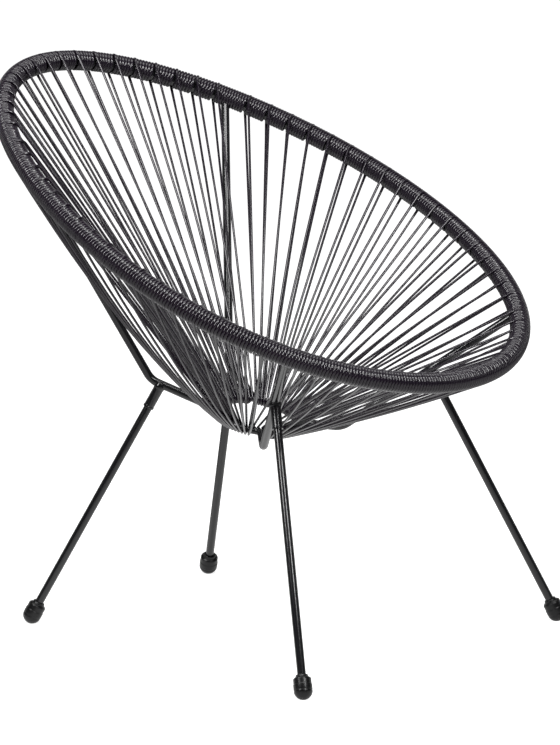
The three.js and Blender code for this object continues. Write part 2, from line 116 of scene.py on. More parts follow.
class CHAIR_PG_rings(bpy.types.PropertyGroup):
    """Sizes of the oval rim and of the small ring in the bottom of the seat."""
    seat_width: length("Seat width", "Across the wound rim, halfway back", 0.730)
    rim_length: length("Rim length", "Middle line of the rim, front to back along its slope", 0.9306)
    rim_height: length("Rim height", "Floor to the middle of the rim", 0.6403)
    rim_tilt: turn("Rim tilt", "Slope of the rim, which rises to the back", 25.2)
    fullness: fraction("Front fullness", "How much fuller the oval gets in front", 0.105)
    tube_radius: length("Rim tube radius", "Outside radius of the steel rim", 0.012)
    front_left_weld: turn("Front left weld", "Place of the front left support round the rim", 41)
    front_right_weld: turn("Front right weld", "Place of the front right support round the rim", 46)
    back_weld: turn("Back weld", "Place of a back support round the rim", 130)
    lower_radius: length("Lower ring radius", "Middle line of the ring in the bottom", 0.0655)
    lower_rod: length("Lower rod radius", "Radius of that ring's steel rod", 0.005)
    lower_centre: position("Lower ring centre", "Middle of the lower ring", (0, -0.003, 0.3306))
    lower_tilt: turn("Lower ring tilt", "Slope of the lower ring, which rises to the back", 15.5)
    front_join: turn("Front join", "Where a front support meets the lower ring", 43)
    back_join: turn("Back join", "Where a back support meets the lower ring", 137)
    back_parting: turn("Back parting", "Where the loops part for a back support", 139)
    front_crossing: turn("Front crossing", "How far round the ring the front loops reach", 58.5)


class CHAIR_PG_cord(bpy.types.PropertyGroup):
    """Sizes of the cord and of its winding."""
    diameter: length("Cord diameter", "Diameter of the plastic cord", 0.0038)
    gap: length("Gap", "Gap between the winding and the steel under it", 0.0003)
    pitch: length("Pitch", "About how far apart the turns of the winding lie", 0.0050)
    left_pitch: length("Left pitch", "About how far apart they lie on the sitter's left", 0.0046)
    turn_steps: whole("Steps in a turn", "Points along one turn of the winding", 20, 8)
    sides: whole("Cord sides", "Sides of the cord's section, an even number", 10, 6)
    loop_steps: whole("Steps in a loop", "Points round the lower ring", 12, 4)
    spread: length("Spread", "Extra room between a loop and the support beside it", 0.00045)
    slack_steps: whole("Steps in a slack strand", "Straight lengths in an outer strand", 12, 2)
    front_slack: fraction("Front slack", "How far the front's outer strands sag, of their length", 0.012)
    right_slack: fraction("Right slack",
                          "How far the outer strands on the sitter's right sag, of their length", 0.06)
    crowding: fraction("Crowding",
                       "How much closer the front loops stand in the middle of the ring's under side", 0.13)
    rise: length("Rise", "How far a loop that leaves squarely rises over the turns beside it", 0.0012)
    lift: length("Lift", "How much further a loop rises that leaves along the rim", 0.0070)


class CHAIR_PG_legs(bpy.types.PropertyGroup):
    """Sizes of the supports, the sockets, the legs and the feet."""
    tube_radius: length("Tube radius", "Outside radius of supports and legs", 0.0065)
    tube_wall: length("Tube wall", "Wall of the legs", 0.0012)
    bend_radius: length("Bend radius", "Bend in the middle line of a support", 0.030)
    front_bend: position("Front bend", "Corner of the left front support's middle line",
                         (0.0926, -0.0941, 0.309))
    back_bend: position("Back bend", "Corner of the left back support's middle line",
                        (0.0917, 0.1318, 0.3842))
    front_foot: position("Front foot", "Where the left front foot stands", (0.304, -0.347, 0))
    back_foot: position("Back foot", "Where the left back foot stands", (0.2082, 0.2816, 0))
    front_share: fraction("Front socket share", "Place of a front socket between the bend and the rim", 0.502)
    back_run: length("Back socket run", "Back bend to the back socket, towards the lower ring", 0.0165)
    socket_radius: length("Socket radius", "Outside radius of a leg socket", 0.008)
    socket_bore: length("Socket bore", "Radius of the socket's bore", 0.0056)
    socket_reach: length("Socket reach", "Support's middle line to the socket's mouth", 0.0415)
    seam: length("Seam", "Open seam between a socket and its leg", 0.0003)
    foot_radius: length("Foot radius", "Outside radius of a foot cap", 0.01425)
    foot_height: length("Foot height", "Foot cap from its dome to its shoulder", 0.034)
    foot_flat: length("Foot flat", "How much of the dome is cut flat on the floor", 0.0009)
    foot_sole: length("Foot sole", "Rubber under the end of a leg", 0.009)


class CHAIR_PG_finish(bpy.types.PropertyGroup):
    """Colours of the chair's materials."""
    steel: colour("Powder coat", "Satin black powder coat on the steel", "#161618")
    cord: colour("Cord", "Black polyethylene cord", "#1a151d")
    rubber: colour("Rubber", "Black rubber of the feet", "#0e0e0f")
    zinc: colour("Zinc", "Zinc plating on studs and inserts", "#B4B3AE")


class CHAIR_PG_stage(bpy.types.PropertyGroup):
    """Camera and lights."""
    azimuth: turn("Camera azimuth", "Where the camera looks, from straight at the chair's front", 49.618)
    pitch: turn("Camera pitch", "How far down the camera looks", 11.70)
    roll: turn("Camera roll", "Turn of the camera round its own line of sight", -0.5615)
    distance: length("Camera distance", "Camera to the point that it is aimed by", 9.443)
    shift_right: length("Camera right", "How far right of that point the camera stands", 0.03788)
    shift_up: length("Camera up", "How far above its line to that point the camera stands", -0.002617)
    focal: FloatProperty(name="Focal length", description="Focal length over the picture's height",
                         default=8.2752)
    softbox: FloatProperty(name="Softbox power", description="Power of each side softbox in watts",
                           default=60)


def side_of(loop):
    """Side of the seat that a loop is on. The count may run on round the rim."""
    return bisect.bisect_right(SIDE_STARTS, loop % LOOP_COUNT) - 1


def around(front_left, front_right, back):
    """Angles that part the four sides, from the two in front and one at the back."""
    return (-front_right, front_left, back, 2 * math.pi - back, 2 * math.pi - front_right)


def mix(low, high, share):
    """What lies a share of the way from low to high."""
    return low + (high - low) * share


def looked_up(keys, values, key):
    """Value at a key, from a table with rising keys."""
    i = min(bisect.bisect_right(keys, key), len(keys) - 1)
    return mix(values[i - 1], values[i], (key - keys[i - 1]) / (keys[i] - keys[i - 1]))


class Plan:
    """The chair's lines, worked out from the sizes in the panel. Places on the rim are lengths along it."""

    TABLE_STEPS = 3000

    def __init__(self):
        scene = bpy.context.scene
        self.rings, self.cord, self.legs = scene.chair_rings, scene.chair_cord, scene.chair_legs
        self.winding = self.rings.tube_radius + self.cord.diameter / 2 + self.cord.gap / 2
        self.half_width = (self.rings.seat_width / 2 - self.rings.tube_radius
                           - self.cord.gap - self.cord.diameter)
        weld_angles = around(self.rings.front_left_weld, self.rings.front_right_weld, self.rings.back_weld)
        self.measure(weld_angles[0])
        self.welds = [self.place_of(angle) for angle in weld_angles]
        self.crossings = around(self.rings.front_crossing, self.rings.front_crossing, self.rings.back_join)
        self.loops = []
        for side, count in enumerate(SIDE_LOOPS):
            spaces = count - 1 + 2 * END_SPACES[side]
            self.loops += [mix(self.welds[side], self.welds[side + 1], (END_SPACES[side] + i) / spaces)
                           for i in range(count)]

    def rim_point(self, angle):
        """Point on the rim's middle line. Angle 0 is the front, a quarter turn the sitter's left."""
        s = self.rings
        along = -s.rim_length / 2 * math.cos(angle)
        across = self.half_width * math.sin(angle) * (1 + s.fullness * math.cos(angle))
        return Vector((across, along * math.cos(s.rim_tilt), s.rim_height + along * math.sin(s.rim_tilt)))

    def rim_direction(self, angle):
        """Direction of the rim's middle line."""
        return (self.rim_point(angle + ANGLE_STEP) - self.rim_point(angle - ANGLE_STEP)).normalized()

    def measure(self, start):
        """Lists angles once round the rim and the rim's length up to each."""
        self.angles = [start + 2 * math.pi * i / self.TABLE_STEPS for i in range(self.TABLE_STEPS + 1)]
        self.lengths = [0]
        for before, after in zip(self.angles, self.angles[1:]):
            self.lengths.append(self.lengths[-1] + (self.rim_point(after) - self.rim_point(before)).length)

    def place_of(self, angle):
        """Place on the rim at an angle."""
        return looked_up(self.angles, self.lengths, angle)

    def rim_angle(self, place):
        """Angle of a place on the rim."""
        return looked_up(self.lengths, self.angles, place % self.lengths[-1])

    def loop_place(self, loop):
        """Place of a loop on the rim. The count may run on round the rim."""
        rounds, loop = divmod(loop, LOOP_COUNT)
        return self.loops[loop] + rounds * self.lengths[-1]

    def turns_after(self, loop):
        """Turns of the winding between a loop and the next."""
        pitch = self.cord.left_pitch if SIDE_NAMES[side_of(loop)] == "left" else self.cord.pitch
        return round((self.loop_place(loop + 1) - self.loop_place(loop)) / pitch)

    def wound_after(self, loop):
        """Turns after a loop at which the next loop leaves the winding."""
        return self.turns_after(loop) - 2 * LOOP_SPACE

    def part_after(self, loop):
        """Turns after a loop at which one piece of cord ends and the next starts: at a weld, or halfway."""
        if (loop + 1) % LOOP_COUNT not in SIDE_STARTS:
            return self.wound_after(loop) / 2
        side = side_of(loop + 1)
        share = END_SPACES[side - 1] / (END_SPACES[side - 1] + END_SPACES[side])
        return self.turns_after(loop) * share - LOOP_SPACE

    def lower_axes(self):
        """The lower ring's directions to the sitter's left and to the front."""
        tilt = self.rings.lower_tilt
        return Vector((1, 0, 0)), Vector((0, -math.cos(tilt), -math.sin(tilt)))

    def lower_point(self, angle):
        """Point on the lower ring's middle line, with angles as on the rim."""
        across, front = self.lower_axes()
        radius = self.rings.lower_radius
        return (Vector(self.rings.lower_centre)
                + across * radius * math.sin(angle) + front * radius * math.cos(angle))

    def lower_direction(self, angle):
        """Direction of the lower ring's middle line."""
        across, front = self.lower_axes()
        return across * math.cos(angle) - front * math.sin(angle)

    def lower_angle(self, place):
        """Where on the lower ring the seat's lines from this place on the rim end."""
        place %= self.lengths[-1]
        side = min(bisect.bisect_right(self.welds, place) - 1, 3)
        share = (place - self.welds[side]) / (self.welds[side + 1] - self.welds[side])
        return mix(self.crossings[side], self.crossings[side + 1], share)

    def loop_angles(self, loop):
        """Where a loop meets the lower ring and where it leaves it, with room for the supports."""
        side = side_of(loop)
        into, count = loop - SIDE_STARTS[side], SIDE_LOOPS[side]
        margin = math.asin((self.legs.tube_radius + self.cord.diameter / 2 + self.cord.spread)
                           / self.rings.lower_radius)
        front, back = self.rings.front_join - margin, self.rings.back_parting
        spans = ((-front, front), (self.rings.front_crossing, back - margin),
                 (back + margin, 2 * math.pi - back - margin),
                 (2 * math.pi - back + margin, 2 * math.pi - self.rings.front_crossing))
        leaves = mix(*spans[side], into / (count - 1))
        if side == 0:
            leaves *= 1 - self.cord.crowding * (1 - (leaves / front) ** 2)
        return mix(self.crossings[side], self.crossings[side + 1], (into + 0.5) / count), leaves

    def rim_section(self, place):
        """Middle of the rim's section, its direction, its side towards the lower ring and its upper side."""
        angle = self.rim_angle(place)
        centre, direction = self.rim_point(angle), self.rim_direction(angle)
        down = self.lower_point(self.lower_angle(place)) - centre
        down = (down - direction * down.dot(direction)).normalized()
        return centre, direction, down, direction.cross(down)

    def rise(self, loop):
        """How high a loop rises over the turns beside it, more where it leans along the rim."""
        centre, direction, _, _ = self.rim_section(self.loop_place(loop))
        lean = abs((self.lower_point(self.loop_angles(loop)[0]) - centre).normalized().dot(direction))
        return self.cord.rise + self.cord.lift * lean

    def winding_point(self, loop, turns, rise_ahead):
        """Point on the winding some turns after a loop. The cord rises to where the next loop leaves."""
        start, count = self.loop_place(loop), self.turns_after(loop)
        pitch = (self.loop_place(loop + 1) - start) / count
        share = max(0, 1 - (count - 2 * LOOP_SPACE - turns) / LIFT_TURNS)
        rise = rise_ahead * share * share * (3 - 2 * share)
        centre, _, down, upper = self.rim_section(start + pitch * (LOOP_SPACE + turns))
        angle = -math.pi / 2 - 2 * math.pi * turns
        return centre + (down * math.cos(angle) + upper * math.sin(angle)) * (self.winding + rise)

    def widening(self, point):
        """How much wider the cord is at a point where it is pulled flat against the rim, and which way."""
        s = self.rings
        up_slope = point.y * math.cos(s.rim_tilt) + (point.z - s.rim_height) * math.sin(s.rim_tilt)
        ahead = -2 / s.rim_length * up_slope
        angle = math.atan2(point.x / self.half_width / (1 + s.fullness * ahead), ahead)
        clear = ((point - self.rim_point(angle)).length - self.winding) / self.cord.diameter
        share = max(0, min(1, FLAT_REACH - clear))
        return self.rim_direction(angle) * share * (self.cord.pitch / self.cord.diameter - 1)

    def loop_points(self, loop):
        """One loop: down from the rim's upper side, round the lower ring, and up to its lower side."""
        low, high = self.loop_angles(loop)
        radius = self.rings.lower_rod + self.cord.gap + self.cord.diameter / 2
        centre = self.rim_point(self.rim_angle(self.loop_place(loop)))
        points = []
        for step in range(self.cord.loop_steps + 1):
            share = step / self.cord.loop_steps
            on_ring, along = (f(mix(low, high, share)) for f in (self.lower_point, self.lower_direction))
            down = on_ring - centre
            down = (down - along * down.dot(along)).normalized()
            upper = along.cross(down)
            spoke = upper * math.cos(math.pi * share) + down * math.sin(math.pi * share)
            points.append(on_ring + spoke * radius)
        return points

    def slack_points(self, loop, foot, head):
        """Points of a loop's outer strand on its way up to the rim, where some sides hang slack."""
        slack = (self.cord.front_slack, 0, 0, self.cord.right_slack)[side_of(loop)]
        sag, steps = slack * (head - foot).length, self.cord.slack_steps
        return [foot.lerp(head, step / steps) - Vector((0, 0, 4 * sag * step * (steps - step) / steps ** 2))
                for step in range(1, steps)]

    def corner(self, name):
        """A corner's lines: weld, bend, join, foot, socket's place and the leg's axis."""
        sign, half, side = CORNERS[name]
        s, flip = self.legs, Vector((sign, 1, 1))
        bend = Vector(getattr(s, f"{half}_bend")) * flip
        foot = Vector(getattr(s, f"{half}_foot")) * flip + Vector((0, 0, s.foot_radius - s.foot_flat))
        weld = self.rim_point(self.rim_angle(self.welds[side]))
        join = self.lower_point(sign * getattr(self.rings, f"{half}_join"))
        run = (join - bend).normalized()
        seat = bend.lerp(weld, s.front_share) if half == "front" else bend + run * s.back_run
        return {"weld": weld, "bend": bend, "join": join, "foot": foot, "seat": seat,
                "axis": (seat - foot).normalized(), "span": (seat - foot).length}


def inside_support(plan, corner, point):
    """Whether a point of the winding lies in the tube that is welded to the rim there."""
    axis = (corner["bend"] - corner["weld"]).normalized()
    reach = (point - corner["weld"]).dot(axis)
    off_axis = (point - corner["weld"] - axis * reach).length
    return reach > 0 and off_axis < plan.legs.tube_radius - plan.cord.gap


def softened(corner, start, end):
    """Points that round a corner of the cord, between the points before and after it."""
    near = corner + (start - corner).normalized() * CORNER_ROUND
    far = corner + (end - corner).normalized() * CORNER_ROUND
    return [near.lerp(corner, t).lerp(corner.lerp(far, t), t) for t in (0, 0.25, 0.5, 0.75, 1)]


def add_node(tree, kind, inputs=None, **settings):
    """Adds a node, sets its options, and gives each named input a value or another node's output."""
    node = tree.nodes.new(kind)
    for option, value in settings.items():
        setattr(node, option, value)
    for socket, value in (inputs or {}).items():
        if isinstance(value, bpy.types.NodeSocket):
            tree.links.new(value, node.inputs[socket])
        else:
            node.inputs[socket].default_value = value
    return node


def ramp(tree, value, start, end, low, high, **settings):
    """Output that goes from low to high while a value goes from start to end."""
    return add_node(tree, "ShaderNodeMapRange", {
        "Value": value, "From Min": start, "From Max": end, "To Min": low, "To Max": high,
    }, **settings).outputs["Result"]


def new_material(name):
    """An empty material and its tree."""
    material = bpy.data.materials.new(name)
    material.use_nodes = True
    material.node_tree.nodes.clear()
    return material, material.node_tree


def surface(name, tint, roughness, grain, depth, ior=1.5, metallic=0.0, wander=0.12, patch=0.04):
    """A finish with slow changes of tone and gloss over a patch, and a fine grain in relief."""
    material = bpy.data.materials.get(name)
    if material:
        return material
    material, tree = new_material(name)
    where = add_node(tree, "ShaderNodeTexCoord").outputs["Object"]
    slow = add_node(tree, "ShaderNodeTexNoise", {"Vector": where, "Scale": 1 / patch, "Detail": 3.0})
    fine = add_node(tree, "ShaderNodeTexNoise", {"Vector": where, "Scale": 1 / grain, "Detail": 2.0})
    tone = add_node(tree, "ShaderNodeMix", {"Factor": slow.outputs["Fac"]}, data_type="RGBA")
    tone.inputs[6].default_value = (*(c * (1 - wander) for c in tint), 1)
    tone.inputs[7].default_value = (*(min(1, c * (1 + wander)) for c in tint), 1)
    gloss = ramp(tree, slow.outputs["Fac"], *NOISE_RANGE, roughness * (1 - wander), roughness * (1 + wander))
    relief = add_node(tree, "ShaderNodeBump", {
        "Height": fine.outputs["Fac"], "Distance": depth, "Strength": 1.0})
    shader = add_node(tree, "ShaderNodeBsdfPrincipled", {
        "Base Color": tone.outputs[2], "Roughness": gloss,
        "Normal": relief.outputs["Normal"], "IOR": ior, "Metallic": metallic})
    add_node(tree, "ShaderNodeOutputMaterial", {"Surface": shader.outputs["BSDF"]})
    return material


def powder_coat():
    """Polyester powder coat, baked on steel: satin black, with a faint orange peel about 1.5 mm across."""
    return surface("satin_powder_coat", bpy.context.scene.chair_finish.steel,
                   roughness=0.2, grain=0.0015, depth=0.000005)


def cord_plastic():
    """Extruded polyethylene cord: satin black, smooth from the die, a little uneven in gloss."""
    return surface("extruded_polyethylene_cord", bpy.context.scene.chair_finish.cord,
                   roughness=0.19, grain=0.0012, depth=0.000002, ior=1.51, patch=0.02)


def foot_rubber():
    """Moulded EPDM rubber: dark, with a low sheen and the mould's grain, drawn 0.8 mm so that it shows."""
    return surface("moulded_rubber", bpy.context.scene.chair_finish.rubber,
                   roughness=0.34, grain=0.0008, depth=0.00003, ior=1.38)


def zinc_plate():
    """Zinc plated steel of the studs and inserts: grey metal with a soft shine."""
    return surface("zinc_plated_steel", bpy.context.scene.chair_finish.zinc,
                   roughness=0.36, grain=0.0012, depth=0.00001, metallic=1.0, wander=0.06)


def finish_piece(name, mesh, material, nodes):
    """Puts a finished mesh in the scene as a piece that stands for CAD nodes."""
    piece = bpy.data.objects.new(name, mesh)
    bpy.context.scene.collection.objects.link(piece)
    mesh.materials.clear()
    mesh.materials.append(material)
    mesh.shade_smooth()
    mesh.set_sharp_from_angle(angle=SHARP_ANGLE)
    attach(piece, BODY)
    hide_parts(*nodes)
    return piece


def keep_node(name, material):
    """Gives a CAD node that keeps its shape its finish."""
    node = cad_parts[name]
    node.data.materials.clear()
    node.data.materials.append(material)


def to_mesh(name, bm):
    """Ends a bmesh: welds doubles, turns faces outwards and makes the mesh."""
    bmesh.ops.remove_doubles(bm, verts=bm.verts, dist=WELD_DISTANCE)
    bmesh.ops.recalc_face_normals(bm, faces=bm.faces)
    mesh = bpy.data.meshes.new(name)
    bm.to_mesh(mesh)
    bm.free()
    return mesh


def cord_mesh(name, strands, radius, sides, widening):
    """Tubes along strands of points, as a mesh. Each ring of it is widened by a vector for its middle."""
    curve = bpy.data.curves.new(name, "CURVE")
    curve.dimensions, curve.fill_mode = "3D", "FULL"
    curve.bevel_depth, curve.bevel_resolution = radius, sides // 2 - 2
    curve.use_fill_caps = True
    for points in strands:
        spline = curve.splines.new("POLY")
        spline.points.add(len(points) - 1)
        spline.points.foreach_set("co", [c for p in points for c in (*p, 1)])
    holder = bpy.data.objects.new(name, curve)
    mesh = bpy.data.meshes.new_from_object(holder)
    mesh.name = name
    bpy.data.objects.remove(holder)
    bpy.data.curves.remove(curve)
    for start in range(0, len(mesh.vertices), sides):
        ring = mesh.vertices[start:start + sides]
        middle = sum((vertex.co for vertex in ring), Vector()) / sides
        wider = widening(middle)
        if wider.length:
            for vertex in ring:
                vertex.co += wider * (vertex.co - middle).dot(wider.normalized())
    return mesh


def turned(profile, steps, base, axis):
    """A shape spun from a profile of (radius, height), stood on a point along an axis."""
    bm = bmesh.new()
    verts = [bm.verts.new((radius, 0, height)) for radius, height in profile]
    edges = [bm.edges.new(pair) for pair in zip(verts, verts[1:] + verts[:1])
             if not (pair[0].co.x == 0 and pair[1].co.x == 0)]
    bmesh.ops.spin(bm, geom=verts + edges, cent=(0, 0, 0), axis=(0, 0, 1), dvec=(0, 0, 0),
                   angle=2 * math.pi, steps=steps, use_merge=True)
    bmesh.ops.remove_doubles(bm, verts=bm.verts, dist=WELD_DISTANCE)
    stand = Matrix.Translation(base) @ Vector((0, 0, 1)).rotation_difference(axis).to_matrix().to_4x4()
    bmesh.ops.transform(bm, matrix=stand, verts=bm.verts)
    return bm


def rounded(profile, radius, steps=3):
    """The profile with each corner off the axis rounded."""
    points = [Vector(p) for p in profile]
    result = []
    for i, corner in enumerate(points):
        before, after = points[i - 1] - corner, points[(i + 1) % len(points)] - corner
        if corner.x == 0 or before.angle(after) > math.radians(170):
            result.append(tuple(corner))
            continue
        cut = min(radius, before.length * 0.45, after.length * 0.45)
        start, end = corner + before.normalized() * cut, corner + after.normalized() * cut
        for step in range(steps + 1):
            t = step / steps
            result.append(tuple(start.lerp(corner, t).lerp(corner.lerp(end, t), t)))
    return result


def edges_in(made):
    """The edges among new parts of a mesh."""
    return [part for part in made if isinstance(part, bmesh.types.BMEdge)]


def carried(bm, ring, vector):
    """Draws a tube from a ring of edges along a vector, and gives the ring at its end."""
    made = bmesh.ops.extrude_edge_only(bm, edges=ring)["geom"]
    bmesh.ops.translate(bm, vec=vector, verts=[part for part in made if isinstance(part, bmesh.types.BMVert)])
    return edges_in(made)


class CHAIR_OT_lower_ring(bpy.types.Operator):
    """Model the ring of steel rod that the cords hang on, and finish the rim's tube under the winding"""
    bl_idname = "chair.lower_ring"
    bl_label = "Rim tube and lower ring"

    SIDES = 20
    STEPS = 96

    def execute(self, context):
        s = context.scene.chair_rings
        bm = bmesh.new()
        section = Matrix.Translation((s.lower_radius, 0, 0)) @ Matrix.Rotation(math.pi / 2, 4, "X")
        bmesh.ops.create_circle(bm, segments=self.SIDES, radius=s.lower_rod, matrix=section)
        bmesh.ops.spin(bm, geom=bm.verts[:] + bm.edges[:], cent=(0, 0, 0), axis=(0, 0, 1), dvec=(0, 0, 0),
                       angle=2 * math.pi, steps=self.STEPS, use_merge=True)
        tilt = Matrix.Translation(s.lower_centre) @ Matrix.Rotation(s.lower_tilt, 4, "X")
        bmesh.ops.transform(bm, matrix=tilt, verts=bm.verts)
        finish_piece("bottom_ring", to_mesh("bottom_ring", bm), powder_coat(), ["lower_ring"])
        keep_node("rim_tube", powder_coat())
        return {"FINISHED"}


class CHAIR_OT_supports(bpy.types.Operator):
    """Model the four bent tubes between the rim and the lower ring"""
    bl_idname = "chair.supports"
    bl_label = "Supports"

    SIDES = 24
    BEND_STEPS = 14
    RIM_START = 0.0095  # from the rim's middle, inside its tube
    RING_END = 0.004  # from the ring's middle, inside its rod

    def execute(self, context):
        plan = Plan()
        s = context.scene.chair_legs
        for name in CORNERS:
            corner = plan.corner(name)
            inbound = (corner["bend"] - corner["weld"]).normalized()
            outbound = (corner["join"] - corner["bend"]).normalized()
            start = corner["weld"] + inbound * self.RIM_START
            end = corner["join"] - outbound * self.RING_END
            angle = inbound.angle(outbound)
            axis = inbound.cross(outbound).normalized()
            before_bend = corner["bend"] - inbound * s.bend_radius * math.tan(angle / 2)
            after_bend = corner["bend"] + outbound * s.bend_radius * math.tan(angle / 2)
            centre = before_bend + axis.cross(inbound) * s.bend_radius

            bm = bmesh.new()
            aim = Vector((0, 0, 1)).rotation_difference(inbound).to_matrix().to_4x4()
            bmesh.ops.create_circle(bm, segments=self.SIDES, radius=s.tube_radius, cap_ends=True,
                                    matrix=Matrix.Translation(start) @ aim)
            ring = carried(bm, bm.edges[:], before_bend - start)
            made = bmesh.ops.spin(bm, geom=ring, cent=centre, axis=axis, dvec=(0, 0, 0), angle=angle,
                                  steps=self.BEND_STEPS, use_merge=False)["geom_last"]
            ring = carried(bm, edges_in(made), end - after_bend)
            bmesh.ops.contextual_create(bm, geom=ring)
            label = f"bent_support_{name}"
            finish_piece(label, to_mesh(label, bm), powder_coat(), [f"support_{name}"])
        return {"FINISHED"}


class CHAIR_OT_legs(bpy.types.Operator):
    """Model the four sockets under the supports and the tube legs that screw into them"""
    bl_idname = "chair.legs"
    bl_label = "Sockets and legs"

    STEPS = 40
    LIP = 0.003
    LIP_RISE = 0.0005
    BORE_DEPTH = 0.024
    CROWN = (  # the socket's closed end: out from its side, and along it from the support's middle line
        (0, -0.0095), (0.0004, -0.0072), (0.0013, -0.0052), (0.0012, -0.0028),
        (0.0005, 0), (-0.0006, 0.0026), (-0.0025, 0.0046),
    )
    CROWN_TOP = 0.0055
    SOCKET_ROUND = 0.0005
    TUBE_ROUND = 0.0004

    def execute(self, context):
        plan = Plan()
        s = context.scene.chair_legs
        for name in CORNERS:
            corner = plan.corner(name)
            span, outer, bore = corner["span"], s.socket_radius, s.socket_bore
            mouth = span - s.socket_reach
            socket = rounded([
                (0, mouth + self.BORE_DEPTH), (bore, mouth + self.BORE_DEPTH), (bore, mouth),
                (outer + self.LIP_RISE, mouth), (outer + self.LIP_RISE, mouth + self.LIP),
                (outer, mouth + self.LIP + self.LIP_RISE),
                *((outer + out, span + up) for out, up in self.CROWN), (0, span + self.CROWN_TOP),
            ], self.SOCKET_ROUND)
            bm = turned(socket, self.STEPS, corner["foot"], corner["axis"])
            label = f"socket_{name}"
            finish_piece(label, to_mesh(label, bm), powder_coat(), [f"leg_socket_{name}"])
            top, low = mouth - s.seam, s.foot_sole - s.foot_radius + s.seam
            wall = s.tube_radius - s.tube_wall  # radius inside the tube
            tube = rounded([(wall, low), (s.tube_radius, low), (s.tube_radius, top), (wall, top)],
                           self.TUBE_ROUND)
            bm = turned(tube, self.STEPS, corner["foot"], corner["axis"])
            label = f"tube_leg_{name}"
            finish_piece(label, to_mesh(label, bm), powder_coat(), [f"leg_{name}"])
            keep_node(f"socket_insert_{name}", zinc_plate())
            keep_node(f"leg_stud_{name}", zinc_plate())
        return {"FINISHED"}


class CHAIR_OT_feet(bpy.types.Operator):
    """Model the rubber caps with their domes and collars"""
    bl_idname = "chair.feet"
    bl_label = "Feet"

    STEPS = 40
    DOME_STEPS = 12
    COLLAR_RISE = 0.0038
    COLLAR_WALL = 0.0024
    STEP_DOWN = 0.0107  # shoulder to the step in the side
    STEP_IN = 0.0006
    STEP_SLOPE = 0.0004
    SHOULDER_DROP, SHOULDER_IN = 0.0022, 0.0026
    FLARE_IN, FLARE_RISE = 0.0006, 0.0004  # the collar's foot on the shoulder
    EDGE_ROUND = 0.0011
    SOLE_CUT = 1e-7

    def execute(self, context):
        plan = Plan()
        s = context.scene.chair_legs
        pocket = s.tube_radius + s.seam / 2
        shoulder = s.foot_height - s.foot_radius
        floor = s.foot_sole - s.foot_radius
        upper = s.foot_radius - self.STEP_IN
        quarter = [i / self.DOME_STEPS * math.pi / 2 for i in range(self.DOME_STEPS)]
        dome = [(s.foot_radius * math.sin(a), -s.foot_radius * math.cos(a)) for a in quarter]
        side = rounded([
            (s.foot_radius, 0), (s.foot_radius, shoulder - self.STEP_DOWN - self.STEP_SLOPE),
            (upper, shoulder - self.STEP_DOWN + self.STEP_SLOPE), (upper, shoulder - self.SHOULDER_DROP),
            (upper - self.SHOULDER_IN, shoulder),
            (pocket + self.COLLAR_WALL + self.FLARE_IN, shoulder + self.FLARE_RISE),
            (pocket + self.COLLAR_WALL, shoulder + self.COLLAR_RISE), (pocket, shoulder + self.COLLAR_RISE),
            (pocket, floor), (0, floor),
        ], self.EDGE_ROUND)
        for name in CORNERS:
            corner = plan.corner(name)
            bm = turned(dome + side[1:], self.STEPS, corner["foot"], corner["axis"])
            bmesh.ops.bisect_plane(bm, geom=bm.verts[:] + bm.edges[:] + bm.faces[:], dist=self.SOLE_CUT,
                                   plane_co=(0, 0, 0), plane_no=(0, 0, -1), clear_outer=True)
            bmesh.ops.holes_fill(bm, edges=[edge for edge in bm.edges if edge.is_boundary])
            label = f"rubber_foot_{name}"
            finish_piece(label, to_mesh(label, bm), foot_rubber(), [f"foot_cap_{name}"])
        return {"FINISHED"}


